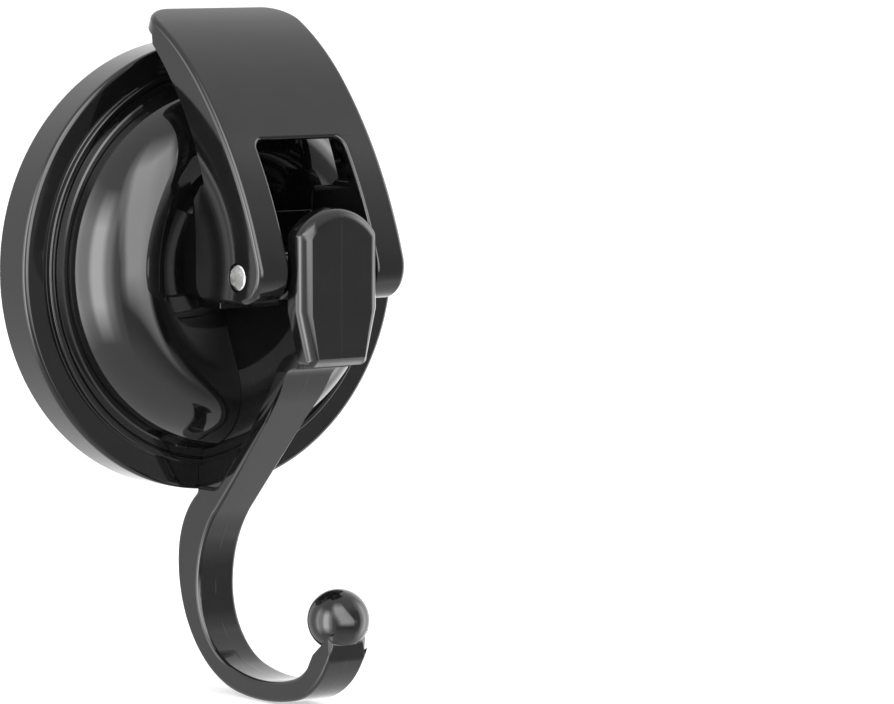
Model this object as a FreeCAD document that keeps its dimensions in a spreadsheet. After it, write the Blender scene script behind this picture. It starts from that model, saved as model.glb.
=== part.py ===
import FreeCAD, Part
import os
import Sketcher
from FreeCAD import Vector

# Lever suction hook. +Z is up, the wall is the plane Y = 0 and the hook stands out from it along -Y.
# The origin is the centre of the suction cup on the wall. Depth means distance from the wall,
# low means distance below the axis of the pivot pin and the cup, high means distance above it.

SIZES = [
    # suction cup
    ("cup_play", 0.9, "play between the cup's lip and the inside of the rim"),
    ("cup_lip_wide", 5.6, "flat width of the lip on the wall"),
    ("cup_lip_thick", 1.5, "thickness of the lip near its edge"),
    ("cup_membrane", 3.0, "thickness of the membrane at the boss"),
    ("cup_lift", 4.8, "hollow under the middle of the locked cup"),
    ("cup_boss_radius", 13.0, "radius of the boss moulded round the stem"),
    ("cup_boss_depth", 12.4, "depth of the boss's front face"),
    # stem moulded into the cup
    ("stem_wide", 15.6, "stem size across"),
    ("stem_tall", 9.0, "stem size up and down"),
    ("stem_edge", 0.6, "rounding of the stem's long edges"),
    ("flange_radius", 10.4, "radius of the flange inside the cup"),
    ("flange_thick", 2.0, "thickness of that flange"),
    ("flange_depth", 7.4, "depth of its wall side"),
    ("mould_gap", 0.05, "play between the cup and the stem"),
    # pivot pin
    ("pin_radius", 2.6, "radius of the steel pin"),
    ("pin_depth", 39.8, "depth of the pin's axis"),
    ("pin_inset", 0.15, "how far each pin end lies inside the lever's side"),
    ("pin_edge", 0.35, "chamfer on the pin ends"),
    ("pin_play", 0.05, "radial running clearance of the lever on the pin"),
    ("pin_seat", 0.02, "radial clearance of the pin in the stem"),
    # housing
    ("rim_radius", 42.5, "outer radius of the rim"),
    ("rim_depth", 8.9, "depth of the rim's front face"),
    ("rim_foot", 0.4, "depth of the rim's rear edge"),
    ("rim_round", 0.9, "rounding of the rim's front edge"),
    ("shell", 2.4, "wall thickness of the housing"),
    ("rim_wide", 4.8, "width of the rim's flat face"),
    ("step_rise", 1.25, "height of the raised ring over the rim face"),
    ("step_round", 0.3, "rounding of the raised ring's outer edge"),
    ("line_in", 1.2, "how far the fine line lies inside the ring's edge"),
    ("line_wide", 0.55, "width of the fine line"),
    ("line_deep", 0.4, "depth of the fine line"),
    ("ring_wide", 2.9, "width of the raised ring"),
    ("dome_foot", 0.5, "how far the dome's wall leans in at its foot"),
    ("dome_turn", 80.0, "steepness of the dome near its foot, degrees"),
    ("shoulder_bend", 14.9, "bend between the dome's wall and its crest"),
    ("crest_depth", 22.8, "depth of the dome's highest circle"),
    ("crest_bend", 9.0, "outer bend of the crest"),
    ("crest_turn", 45.0, "angle of that bend, degrees"),
    ("dish_bend", 12.0, "inner bend of the crest"),
    ("dish_turn", 24.0, "slope of the dish, degrees"),
    ("dish_radius", 8.0, "radius of the flat middle of the dish"),
    # guide block in the middle of the dish
    ("guide_wide", 20.6, "width of the guide block"),
    ("guide_low", 6.9, "how far the guide block reaches down"),
    ("guide_high", 10.8, "how far the guide block reaches up"),
    ("pad_wide", 29.0, "width over the pads that carry the lever's feet"),
    ("pad_low", 4.2, "how far the pads reach down"),
    ("pad_edge", 0.5, "rounding of the pads' outer edges"),
    ("guide_root", 16.2, "depth where the block grows out of the dish"),
    ("stem_play", 0.25, "play of the stem in the guide block"),
    ("cam_gap", 0.4, "running gap between the pads and the lever's feet"),
    # lever
    ("lever_wide", 33.4, "width of the lever"),
    ("plate", 2.7, "thickness of the lever's front plate"),
    ("skirt", 2.8, "thickness of the lever's side walls"),
    ("face_depth", 46.6, "depth of the front plate near its lower end"),
    ("face_high", 3.0, "height of that point"),
    ("face_lean", 17.6, "lean of the plate there, degrees from upright"),
    ("lower_bow", 86.6, "bend of the lower half of the plate"),
    ("lower_turn", 24.5, "angle of that bend, degrees"),
    ("upper_bow", 54.0, "bend of the upper half of the plate"),
    ("upper_turn", 25.5, "angle of that bend, degrees"),
    ("overhang_turn", 6.4, "part of the upper bend that the side walls leave free, degrees"),
    ("tip_corner", 6.2, "corner radius of the lever's tip"),
    ("lever_edge", 1.0, "rounding of the lever's front edges"),
    ("sole_reach", 13.8, "distance from the pin's axis to the flat of the feet"),
    ("foot_low", 5.0, "how far the feet reach down"),
    ("foot_high", 11.0, "how far the flat of the feet reaches up"),
    ("foot_round", 3.4, "rounding of the feet's lower rear corner"),
    ("waist_turn", 13.7, "part of the lower bend where the side walls are narrow over the feet, degrees"),
    ("waist_deep", 9.9, "width of the side walls there, square to the plate"),
    ("middle_deep", 7.1, "width of the side walls between the two bends"),
    ("top_step", 1.4, "how far the side walls stand under the plate at their upper end"),
    ("top_run", 1.2, "slope of the side walls' upper end, degrees of the bend"),
    ("slot_wide", 20.0, "width of the lever's slot"),
    ("slot_high", 24.5, "height of the slot's upper edge"),
    ("slot_corner", 1.8, "corner radius of the slot"),
    ("slot_edge", 0.6, "rounding of the slot's front edge"),
    # hook: arm, web and J
    ("arm_wide", 8.6, "width of the arm and the J"),
    ("web_inset", 0.6, "how far the web lies inside the arm's side"),
    ("strip", 2.7, "thickness of the flange along the arm"),
    ("web_low", 41.5, "how far down the web ends"),
    ("web_corner", 3.0, "bend at the lower end of the web"),
    ("flare_wide", 10.8, "width of the arm under the head"),
    ("flare_low", 28.0, "how far down the flare ends"),
    ("flare_tall", 10.0, "height of the flare"),
    ("seat_gap", 0.1, "play between the hook's web and the housing"),
    ("neck_top", 5.0, "how far down the neck starts"),
    ("neck_low", 17.0, "how far down the neck ends"),
    ("neck_long", 2.6, "straight length of the neck's underside behind the head"),
    ("neck_bend", 4.0, "bend between the neck and the arm"),
    ("neck_turn", 62.0, "angle of that bend, degrees"),
    ("arm_bend", 25.0, "bend at the top of the arm"),
    ("arm_slope", 47.3, "slope of the arm, degrees from level"),
    ("throat_bend", 21.8, "bend between the arm and the J's inner side"),
    ("throat_depth", 9.3, "depth of the J's inner side where it is upright"),
    ("inner_bend", 14.6, "first bend of the J's inner side"),
    ("inner_turn", 73.5, "angle of that bend, degrees"),
    ("floor_bend", 34.7, "second bend of the J's inner side"),
    ("floor_turn", 33.0, "angle of that bend, degrees"),
    ("rise_bend", 10.3, "last bend of the J's inner side"),
    ("rise_turn", 44.6, "angle of that bend, degrees"),
    ("heel_low", 42.75, "how far down the J's back leaves the rim"),
    ("heel_turn", 37.0, "slope of the J's back at the rim, degrees from level"),
    ("back_bend", 16.4, "first bend of the J's back"),
    ("back_turn", 47.5, "angle of that bend, degrees"),
    ("bowl_bend", 23.4, "second bend of the J's back"),
    ("bowl_turn", 87.1, "angle of that bend, degrees"),
    ("toe_bend", 47.4, "third bend of the J's back"),
    ("toe_turn", 20.8, "angle of that bend, degrees"),
    ("tip_bend", 16.4, "last bend of the J's back"),
    ("tip_turn", 72.0, "angle of that bend, degrees"),
    ("ball_radius", 5.75, "radius of the ball"),
    ("ball_depth", 48.1, "depth of the ball's centre"),
    ("ball_low", 63.2, "how far down the ball's centre lies"),
    # hook: head
    ("head_depth", 49.5, "depth of the head's front face"),
    ("head_thick", 4.6, "thickness of the head"),
    ("head_wide", 17.8, "width of the head"),
    ("head_high", 12.5, "height of the head's arched top"),
    ("head_shoulder", 7.7, "height where the arch meets the sides"),
    ("head_waist", 6.1, "how far down the taper starts"),
    ("head_low", 16.4, "how far down the head ends"),
    ("head_foot_wide", 12.8, "width of the head's lower edge"),
    ("head_corner", 1.2, "corner radius of the lower edge"),
    ("head_bevel", 1.5, "bevel round the front face"),
    # screws that hold the hook on the housing
    ("thread_radius", 1.45, "thread radius"),
    ("screw_long", 12.0, "length under the head"),
    ("screw_head_radius", 2.8, "head radius"),
    ("screw_head_thick", 1.9, "head thickness"),
    ("recess_long", 2.8, "length of the cross recess"),
    ("recess_wide", 0.7, "width of the cross recess"),
    ("recess_deep", 1.1, "depth of the cross recess"),
    ("screw_play", 0.2, "radial play of the screw in the housing"),
    ("pilot_play", 0.04, "radial gap of the pilot hole over the thread"),
    ("boss_radius", 4.0, "radius of the boss under the screw head"),
    ("boss_long", 2.4, "length of that boss"),
]

DERIVED = [
    ("cup_radius", "rim_radius - shell - cup_play", "outer radius of the sealing lip"),
    ("step_radius", "rim_radius - rim_wide", "radius of the raised ring"),
    ("line_radius", "step_radius - line_in", "radius of the fine line"),
    ("dome_radius", "step_radius - ring_wide", "radius of the dome where it leaves the ring"),
    ("shoulder_radius", "dome_radius - dome_foot - shoulder_bend * (sin(dome_turn) - sin(crest_turn))",
     "radius where the crest's bend ends"),
    ("crest_radius", "shoulder_radius - crest_bend * sin(crest_turn)", "radius of the dome's highest circle"),
    ("ring_depth", "rim_depth + step_rise", "depth of the raised ring's face"),
    ("slope_radius", "crest_radius - dish_bend * sin(dish_turn)", "radius where the dish's slope starts"),
    ("dish_depth", "crest_depth - dish_bend * (1 - cos(dish_turn)) - (slope_radius - dish_radius) * tan(dish_turn)",
     "depth of the flat middle of the dish"),
    ("pad_depth", "pin_depth - sole_reach - cam_gap", "depth of the front of the guide block"),
    ("head_back", "head_depth - head_thick", "depth of the back of the head"),
    ("upper_screw", "crest_radius", "how far down the upper screw lies"),
    ("lower_screw", "dome_radius - dome_foot / 2", "how far down the lower screw lies"),
    ("upper_seat", "crest_depth - shell * 2 / 3 - boss_long", "depth of the upper screw head's seat"),
    ("lower_seat", "rim_depth - shell / 4 - boss_long", "depth of the lower screw head's seat"),
    ("curl", "(face_high + foot_low) / (1 + sin(face_lean))", "bend of the lever's lower front end"),
]

doc = FreeCAD.newDocument("suction_hook")
dims = doc.addObject("Spreadsheet::Sheet", "dims")
for row, (alias, number, note) in enumerate(SIZES, start=1):
    dims.set("A%d" % row, alias)
    dims.set("B%d" % row, str(number))
    dims.set("C%d" % row, note)
    dims.setAlias("B%d" % row, alias)
for row, (alias, formula, note) in enumerate(DERIVED, start=len(SIZES) + 2):
    dims.set("A%d" % row, alias)
    dims.set("B%d" % row, "=" + formula)
    dims.set("C%d" % row, note)
    dims.setAlias("B%d" % row, alias)
doc.recompute()
ALIASES = {row[0] for row in SIZES + DERIVED}


def linked(text):
    """the expression with every size name pointed at the sheet"""
    out, word = "", ""
    for letter in text + " ":
        if letter.isalnum() or letter == "_":
            word += letter
        else:
            out += ("dims." + word if word in ALIASES else word) + letter
            word = ""
    return out.strip()


def value(text):
    """what the expression comes to now"""
    return float(dims.evalExpression(linked(text)))


def bind(thing, prop, text):
    thing.setExpression(prop, linked(text))


def new_body(name):
    body = doc.addObject("PartDesign::Body", name)
    body.Label = name
    return body


def new_sketch(body, name, plane, depth=None):
    """a sketch on an origin plane; on XZ_Plane it can stand a depth away from the wall"""
    sketch = body.newObject("Sketcher::SketchObject", name)
    for feature in body.Origin.OriginFeatures:
        if feature.Role == plane:
            sketch.AttachmentSupport = [(feature, "")]
    sketch.MapMode = "FlatFace"
    if depth:
        bind(sketch, "AttachmentOffset.Base.z", depth)
    return sketch


def fix_point(sketch, element, corner, x, y):
    """ties one point of the sketch to two expressions"""
    for kind, text in (("DistanceX", x), ("DistanceY", y)):
        number = sketch.addConstraint(Sketcher.Constraint(kind, -1, 1, element, corner, value(text)))
        bind(sketch, "Constraints[%d]" % number, text)


def outline(sketch, steps):
    """closed outline; a step is a line to (x, y) or an arc to (x, y) through (x2, y2)"""
    drawn = []
    for index, step in enumerate(steps):
        a = Vector(value(steps[index - 1][0]), value(steps[index - 1][1]), 0)
        b = Vector(value(step[0]), value(step[1]), 0)
        if len(step) == 2:
            drawn.append((sketch.addGeometry(Part.LineSegment(a, b), False), 1, 2))
            continue
        middle = Vector(value(step[2]), value(step[3]), 0)
        leftward = (middle - a).cross(b - middle).z > 0
        arc = sketch.addGeometry(Part.Arc(a if leftward else b, middle, b if leftward else a), False)
        drawn.append((arc, 1, 2) if leftward else (arc, 2, 1))
        guide = sketch.addGeometry(Part.Point(middle), True)
        fix_point(sketch, guide, 1, step[2], step[3])
        sketch.addConstraint(Sketcher.Constraint("PointOnObject", guide, 1, arc))
    for index, (element, start, end) in enumerate(drawn):
        fix_point(sketch, element, end, steps[index][0], steps[index][1])
        following, next_start, next_end = drawn[(index + 1) % len(drawn)]
        sketch.addConstraint(Sketcher.Constraint("Coincident", element, end, following, next_start))


def circle(sketch, x, y, radius):
    centre = Vector(value(x), value(y), 0)
    element = sketch.addGeometry(Part.Circle(centre, Vector(0, 0, 1), value(radius)), False)
    fix_point(sketch, element, 3, x, y)
    number = sketch.addConstraint(Sketcher.Constraint("Radius", element, value(radius)))
    bind(sketch, "Constraints[%d]" % number, radius)


def settle(body, feature):
    """recomputes and makes sure that the feature changed the solid"""
    before = feature.BaseFeature.Shape.Volume if feature.BaseFeature else 0.0
    doc.recompute()
    if abs(feature.Shape.Volume - before) < 0.01:
        raise RuntimeError("%s changes nothing in %s" % (feature.Name, body.Label))
    return feature


def extrude(body, name, kind, sketch, length, side="One side", reversed_way=False):
    feature = body.newObject("PartDesign::" + kind, name)
    feature.Profile = sketch
    feature.SideType = side
    bind(feature, "Length", length)
    feature.Reversed = reversed_way
    return settle(body, feature)


def turn(body, name, kind, sketch):
    """a Revolution or a Groove right round the Y axis"""
    feature = body.newObject("PartDesign::" + kind, name)
    feature.Profile = sketch
    feature.ReferenceAxis = (sketch, ["V_Axis"])
    feature.Angle = 360
    return settle(body, feature)


def dress(body, name, kind, size, wanted):
    """a Fillet or a Chamfer on the edges of the last feature that pass the test"""
    base = body.Tip
    names = []
    for index, edge in enumerate(base.Shape.Edges, start=1):
        if wanted(edge, edge.discretize(3)):
            names.append("Edge%d" % index)
    if not names:
        raise RuntimeError("%s finds no edges in %s" % (name, body.Label))
    feature = body.newObject("PartDesign::" + kind, name)
    feature.Base = (base, names)
    bind(feature, "Radius" if kind == "Fillet" else "Size", size)
    return settle(body, feature)


def bend(start, heading, radius, angle):
    """end, half-way point and new heading of an arc that leaves start along heading"""
    side, back = ("+", "-") if value(angle) > 0 else ("-", "+")
    points = []
    for part in ("/ 2", ""):
        way = "((%s) + (%s) %s)" % (heading, angle, part)
        points.append((
            "(%s) %s (%s) * (sin(%s) - sin(%s))" % (start[0], side, radius, way, heading),
            "(%s) %s (%s) * (cos(%s) - cos(%s))" % (start[1], back, radius, way, heading)))
    return points[1], points[0], way


def aside(point, heading, distance):
    """the point moved square to the heading, to its left for a positive distance"""
    return ("(%s) - (%s) * sin(%s)" % (point[0], distance, heading),
            "(%s) + (%s) * cos(%s)" % (point[1], distance, heading))


def rectangle(half_wide, low, high):
    return [("-" + half_wide, low), (half_wide, low), (half_wide, high), ("-" + half_wide, high)]


# Housing

def dome_line(inset):
    """the crest and the dish from the shoulder inwards, moved into the wall by inset"""
    outer = "(crest_bend - (%s))" % inset
    top = "(crest_depth - (%s))" % inset
    return [
        ("crest_radius + %s * sin(crest_turn)" % outer,
         "-(%s - %s * (1 - cos(crest_turn)))" % (top, outer)),
        ("crest_radius", "-" + top,
         "crest_radius + %s * sin(crest_turn / 2)" % outer,
         "-(%s - %s * (1 - cos(crest_turn / 2)))" % (top, outer)),
        ("slope_radius",
         "-(%s - dish_bend * (1 - cos(dish_turn)))" % top,
         "crest_radius - dish_bend * sin(dish_turn / 2)",
         "-(%s - dish_bend * (1 - cos(dish_turn / 2)))" % top),
        ("dish_radius", "-(dish_depth - (%s))" % inset),
        ("0", "-(dish_depth - (%s))" % inset),
    ]


def skin(out):
    """the housing's outside from the rim to the axis, moved outwards and forwards by out"""
    ring = "-ring_depth"
    shoulder, crest, slope, dish, middle = dome_line("0")
    bent = "shoulder_bend * (sin(%s) - sin(crest_turn))"
    sunk = "shoulder_bend * (cos(crest_turn) - cos(%s))"
    mean = "((crest_turn + dome_turn) / 2)"
    corner = "* (1 - sin(45))"
    steps = [
        ("rim_radius", "-(rim_depth - rim_round)"),
        ("rim_radius - rim_round " + corner, "-(rim_depth - rim_round %s)" % corner),
        ("rim_radius - rim_round", "-rim_depth"),
        ("step_radius", "-rim_depth"),
        ("step_radius", "-(ring_depth - step_round)"),
        ("step_radius - step_round", ring),
        ("line_radius + line_wide / 2", ring),
        ("line_radius", ring + " + line_deep"),
        ("line_radius - line_wide / 2", ring),
        ("dome_radius", ring),
        ("%s + %s" % (shoulder[0], bent % "dome_turn"), "%s + %s" % (shoulder[1], sunk % "dome_turn")),
        shoulder + ("%s + %s" % (shoulder[0], bent % mean), "%s + %s" % (shoulder[1], sunk % mean)),
        crest,
        slope,
        dish,
    ]
    signs = ("+", "-", "+", "-")
    moved = [tuple("%s %s %s" % (text, sign, out) for text, sign in zip(step, signs)) for step in steps]
    return moved + [("0", "%s - %s" % (middle[1], out))]


def make_housing():
    body = new_body("housing")
    shoulder, crest, slope, dish, middle = dome_line("shell")
    inner = [
        middle,
        dish,
        slope[:2],
        crest[:2],
        crest[2:],
        shoulder,
        ("dome_radius - shell", "-(ring_depth + 1)"),
        ("dome_radius - shell", "-(ring_depth - shell)"),
        ("step_radius - shell / 2", "-(ring_depth - shell)"),
        ("step_radius - shell / 2", "-(rim_depth - shell)"),
        ("rim_radius - shell", "-(rim_depth - shell)"),
        ("rim_radius - shell", "-rim_foot"),
        ("rim_radius", "-rim_foot"),
    ]
    profile = new_sketch(body, "housing_profile", "XY_Plane")
    outline(profile, skin("0") + inner)
    turn(body, "housing_shell", "Revolution", profile)

    block = new_sketch(body, "guide_outline", "XZ_Plane", "guide_root")
    outline(block, [
        ("-guide_wide / 2", "-guide_low"),
        ("guide_wide / 2", "-guide_low"),
        ("guide_wide / 2", "-pad_low"),
        ("pad_wide / 2", "-pad_low"),
        ("pad_wide / 2", "guide_high"),
        ("-pad_wide / 2", "guide_high"),
        ("-pad_wide / 2", "-pad_low"),
        ("-guide_wide / 2", "-pad_low"),
    ])
    extrude(body, "guide_block", "Pad", block, "pad_depth - guide_root")

    for name in ("upper", "lower"):
        low, seat = "-%s_screw" % name, "%s_seat" % name
        boss = new_sketch(body, name + "_boss_outline", "XZ_Plane", seat)
        circle(boss, "0", low, "boss_radius")
        extrude(body, name + "_boss", "Pad", boss, "boss_long")
        hole = new_sketch(body, name + "_hole_outline", "XZ_Plane", "crest_depth + 1")
        circle(hole, "0", low, "thread_radius + screw_play")
        extrude(body, name + "_hole", "Pocket", hole, "crest_depth")

    bore = new_sketch(body, "stem_bore_outline", "XZ_Plane", "pin_depth")
    outline(bore, rectangle("(stem_wide / 2 + stem_play)", "-(stem_tall / 2 + stem_play)",
                            "stem_tall / 2 + stem_play"))
    extrude(body, "stem_bore", "Pocket", bore, "pin_depth")

    top, half = value("pad_depth"), value("pad_wide / 2")
    dress(body, "pad_edges", "Fillet", "pad_edge", lambda edge, points:
          all(abs(p.y + top) < 0.01 and abs(abs(p.x) - half) < 0.01 for p in points))


# Cup, stem and pin

def make_cup():
    body = new_body("suction_cup")
    lip = "(cup_radius - cup_lip_wide)"
    profile = new_sketch(body, "cup_profile", "XY_Plane")
    outline(profile, [
        ("0", "-cup_lift"),
        (lip + " * 0.45", "-cup_lift * 0.8"),
        (lip, "0"),
        ("cup_radius", "0"),
        ("cup_radius", "-cup_lip_thick / 2"),
        ("cup_radius - cup_lip_thick / 2", "-cup_lip_thick"),
        (lip, "-cup_lip_thick * 1.4"),
        ("(%s + cup_boss_radius) / 2" % lip, "-(cup_lift * 0.5 + cup_membrane * 0.9)"),
        ("cup_boss_radius", "-(cup_lift * 0.85 + cup_membrane)"),
        ("cup_boss_radius - 0.5", "-cup_boss_depth"),
        ("0", "-cup_boss_depth"),
    ])
    turn(body, "cup_form", "Revolution", profile)
    nest = new_sketch(body, "flange_nest_profile", "XY_Plane")
    outline(nest, [
        ("0", "-(flange_depth - mould_gap)"),
        ("flange_radius + mould_gap", "-(flange_depth - mould_gap)"),
        ("flange_radius + mould_gap", "-(flange_depth + flange_thick + mould_gap)"),
        ("0", "-(flange_depth + flange_thick + mould_gap)"),
    ])
    turn(body, "flange_nest", "Groove", nest)
    mouth = new_sketch(body, "stem_nest_outline", "XZ_Plane", "cup_boss_depth + 1")
    outline(mouth, rectangle("(stem_wide / 2 + mould_gap)", "-(stem_tall / 2 + mould_gap)",
                             "stem_tall / 2 + mould_gap"))
    extrude(body, "stem_nest", "Pocket", mouth, "cup_boss_depth + 1 - flange_depth - flange_thick / 2")


def make_stem():
    body = new_body("cup_stem")
    foot = new_sketch(body, "flange_outline", "XZ_Plane", "flange_depth")
    circle(foot, "0", "0", "flange_radius")
    extrude(body, "flange", "Pad", foot, "flange_thick")
    side = new_sketch(body, "stem_side", "YZ_Plane")
    outline(side, [
        ("-(flange_depth + flange_thick / 2)", "-stem_tall / 2"),
        ("-(flange_depth + flange_thick / 2)", "stem_tall / 2"),
        ("-pin_depth", "stem_tall / 2"),
        ("-pin_depth", "-stem_tall / 2", "-(pin_depth + stem_tall / 2)", "0"),
    ])
    extrude(body, "stem_bar", "Pad", side, "stem_wide", side="Symmetric")
    eye = new_sketch(body, "stem_eye_outline", "YZ_Plane")
    circle(eye, "-pin_depth", "0", "pin_radius + pin_seat")
    extrude(body, "stem_eye", "Pocket", eye, "stem_wide + 2", side="Symmetric")
    half, far = value("stem_tall / 2"), value("stem_wide / 2")
    dress(body, "stem_edges", "Fillet", "stem_edge", lambda edge, points:
          all(abs(abs(p.x) - far) < 0.01 and abs(abs(p.z) - half) < 0.01 for p in points))


def make_pin():
    body = new_body("pivot_pin")
    end = new_sketch(body, "pin_outline", "YZ_Plane")
    circle(end, "-pin_depth", "0", "pin_radius")
    extrude(body, "pin", "Pad", end, "lever_wide - 2 * pin_inset", side="Symmetric")
    half = value("lever_wide / 2 - pin_inset")
    dress(body, "pin_ends", "Chamfer", "pin_edge", lambda edge, points:
          all(abs(abs(p.x) - half) < 0.01 for p in points))


# Lever

def make_lever():
    body = new_body("lever")
    face, up = ("-face_depth", "face_high"), "(90 - face_lean)"
    sole = "-(pin_depth - sole_reach)"
    curl_centre = aside(face, up, "-curl")
    curl_half = "((90 - face_lean) / 2)"

    def bows(inset, last="upper_turn"):
        """start, knee with its half-way point, tip, its half-way point, moved into the plate"""
        start = aside(face, up, "-(%s)" % inset)
        knee, knee_mid, way = bend(start, up, "lower_bow - (%s)" % inset, "-lower_turn")
        tip, tip_mid, tip_way = bend(knee, way, "upper_bow - (%s)" % inset, "-(%s)" % last)
        return start, knee + knee_mid, tip, tip_mid

    start, knee, tip, tip_mid = bows("0")
    under_start, under_knee, under_tip, under_mid = bows("plate")
    notch = bows("plate", "upper_turn - overhang_turn")[2]
    notch_mid = bows("plate", "upper_turn - overhang_turn / 2")[2]
    knee_way = "(%s - lower_turn)" % up
    top, top_mid, top_way = bend(knee, knee_way, "upper_bow", "-(upper_turn - overhang_turn - top_run)")
    narrow, narrow_mid, narrow_way = bend(face, up, "lower_bow", "-waist_turn")
    waist = aside(narrow, narrow_way, "-waist_deep")
    side = new_sketch(body, "lever_side", "YZ_Plane")
    outline(side, [
        knee,
        tip + tip_mid,
        under_tip,
        notch + notch_mid,
        aside(top, top_way, "-(plate + top_step)"),
        waist + aside(knee, knee_way, "-middle_deep"),
        (sole, "foot_high", "%s + 0.25 * (%s - (%s))" % (sole, waist[0], sole),
         "foot_high + 0.65 * (%s - foot_high)" % waist[1]),
        (sole, "foot_round - foot_low"),
        (sole + " - foot_round", "-foot_low",
         sole + " - foot_round * (1 - cos(45))", "-foot_low + foot_round * (1 - sin(45))"),
        (curl_centre[0], "-foot_low"),
        face + ("%s - curl * cos(%s)" % (curl_centre[0], curl_half),
                "%s - curl * sin(%s)" % (curl_centre[1], curl_half)),
    ])
    extrude(body, "lever_form", "Pad", side, "lever_wide", side="Symmetric")

    low, low_mid, low_way = bend(under_start, up, "lower_bow - plate", "-lower_turn * 0.4")
    rise, rise_mid, rise_way = bend(low, low_way, "lower_bow - plate", "-lower_turn * 0.6")
    channel = new_sketch(body, "channel_outline", "YZ_Plane")
    outline(channel, [
        low,
        rise + rise_mid,
        under_tip + under_mid,
        ("0", under_tip[1]),
        ("0", low[1]),
    ])
    extrude(body, "channel", "Pocket", channel, "lever_wide - 2 * skirt", side="Symmetric")

    slot = new_sketch(body, "slot_outline", "XZ_Plane", "face_depth + 5")
    corner = "slot_corner * (1 - sin(45))"
    outline(slot, [
        ("-slot_wide / 2", "-foot_low - 1"),
        ("slot_wide / 2", "-foot_low - 1"),
        ("slot_wide / 2", "slot_high - slot_corner"),
        ("slot_wide / 2 - slot_corner", "slot_high",
         "slot_wide / 2 - " + corner, "slot_high - " + corner),
        ("-(slot_wide / 2 - slot_corner)", "slot_high"),
        ("-slot_wide / 2", "slot_high - slot_corner",
         "-(slot_wide / 2 - %s)" % corner, "slot_high - " + corner),
    ])
    extrude(body, "slot", "Pocket", slot, "face_depth + 5")

    eye = new_sketch(body, "lever_eye_outline", "YZ_Plane")
    circle(eye, "-pin_depth", "0", "pin_radius + pin_play")
    extrude(body, "lever_eye", "Pocket", eye, "lever_wide + 2", side="Symmetric")

    half, slot_half = value("lever_wide / 2"), value("slot_wide / 2")
    tip_at = Vector(0, value(tip[0]), value(tip[1]))
    end_way = Vector(0, value(under_tip[0]), value(under_tip[1])) - tip_at
    dress(body, "tip_corners", "Fillet", "tip_corner", lambda edge, points:
          all(abs(abs(p.x) - half) < 0.01 for p in points)
          and all(abs((p - tip_at).cross(end_way).x) < 0.02 for p in points))

    front_arcs = []
    for point, way, radius in ((face, up, "lower_bow"), (knee, knee_way, "upper_bow"),
                               (face, up, "curl")):
        middle = aside(point, way, "-(%s)" % radius)
        front_arcs.append((Vector(0, value(middle[0]), value(middle[1])), value(radius)))
    lowest = -value("foot_low")

    def on_front(p):
        """whether a point lies on the front surface of the lever"""
        flat = Vector(0, p.y, p.z)
        return any(abs((flat - middle).Length - far) < 0.01 for middle, far in front_arcs)

    dress(body, "front_edges", "Fillet", "lever_edge", lambda edge, points:
          all(on_front(p) and abs(p.x) > slot_half + 1 for p in points) and edge.Length > 1.5
          and min(p.z for p in points) > lowest - 0.01 and max(p.z for p in points) > lowest + 1)
    dress(body, "slot_edges", "Fillet", "slot_edge", lambda edge, points:
          all(on_front(p) and abs(p.x) < slot_half + 0.01 for p in points)
          and max(p.z for p in points) > lowest + 1)


# Hook

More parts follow.
